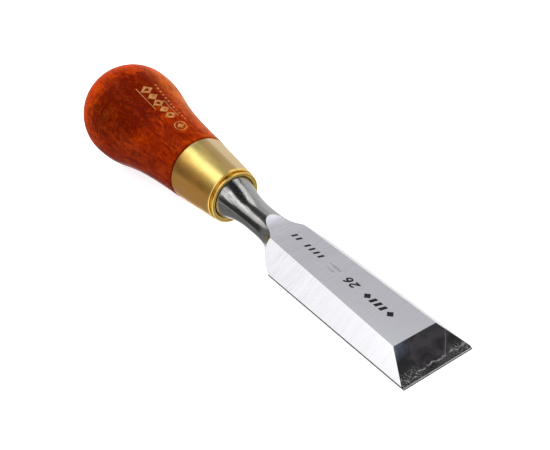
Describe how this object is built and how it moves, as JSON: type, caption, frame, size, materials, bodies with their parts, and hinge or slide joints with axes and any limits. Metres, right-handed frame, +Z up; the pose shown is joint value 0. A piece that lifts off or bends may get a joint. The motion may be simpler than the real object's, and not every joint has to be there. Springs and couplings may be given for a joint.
{
  "type": "bench chisel",
  "caption": "Short bevel-edge bench chisel: flat-backed steel blade with side and tip bevels, oval neck, tapered brass ferrule and a bulbous hardwood handle.",
  "frame": {"origin": "under the middle of the bounding box, on the surface that the tool lies on", "axes": "+X along the tool, from the handle toward the cutting edge; +Y across the blade; +Z up, with the tool lying on its cutting edge and its handle, flat back down"},
  "size_m": [0.1648, 0.036, 0.0361],
  "materials": {
    "steel": "ground and polished, with fine grinding marks",
    "brass": "satin",
    "wood": "red-brown stain under gloss lacquer"
  },
  "bodies": {
    "root": {"blade": "steel", "ferrule": "brass", "handle": "wood"}
  },
  "joints": []
}
